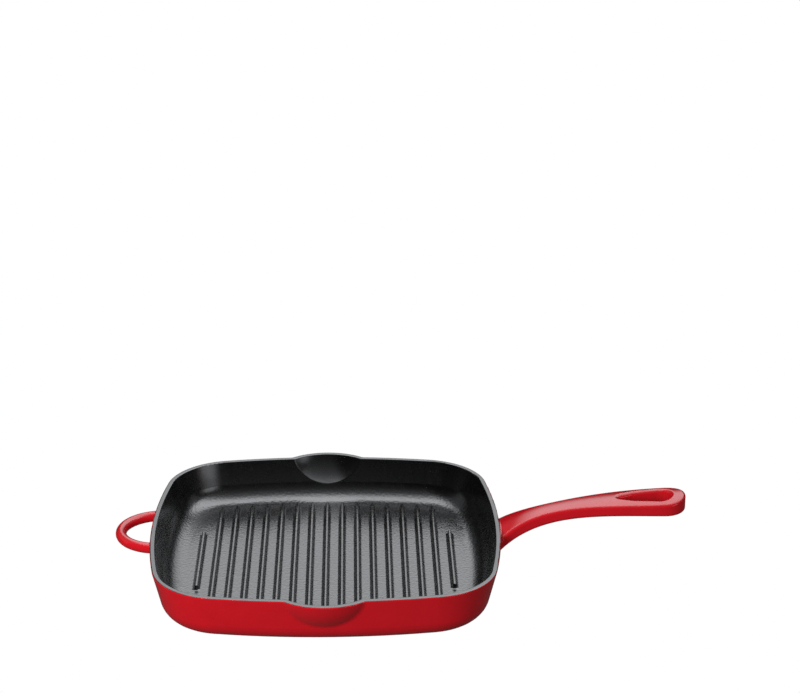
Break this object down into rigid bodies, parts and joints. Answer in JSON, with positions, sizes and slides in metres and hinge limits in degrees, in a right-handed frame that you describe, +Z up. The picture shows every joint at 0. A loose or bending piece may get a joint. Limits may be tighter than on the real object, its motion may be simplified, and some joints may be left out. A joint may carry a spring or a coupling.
{
  "type": "square grill pan",
  "caption": "Square ribbed grill pan in enamelled iron with two pouring spouts, a long handle with a drop-shaped hang hole and a round-bar helper loop.",
  "frame": {"origin": "centre of the base's underside, the face the pan stands on", "axes": "+X towards the long handle's end, +Y across the pan from one pouring spout to the other, +Z up"},
  "size_m": [0.3956, 0.259, 0.0566],
  "materials": {
    "iron": "matte",
    "outside_enamel": "gloss",
    "inside_enamel": "satin"
  },
  "bodies": {
    "root": {"pan_casting": "iron", "grill_ribs": "iron", "long_handle_casting": "iron", "helper_handle_casting": "iron", "outer_wall_enamel": "outside_enamel", "base_enamel": "outside_enamel", "long_handle_enamel": "outside_enamel", "helper_handle_enamel": "outside_enamel", "rim_enamel": "inside_enamel", "lining_enamel": "inside_enamel", "rib_enamel": "inside_enamel"}
  },
  "joints": []
}
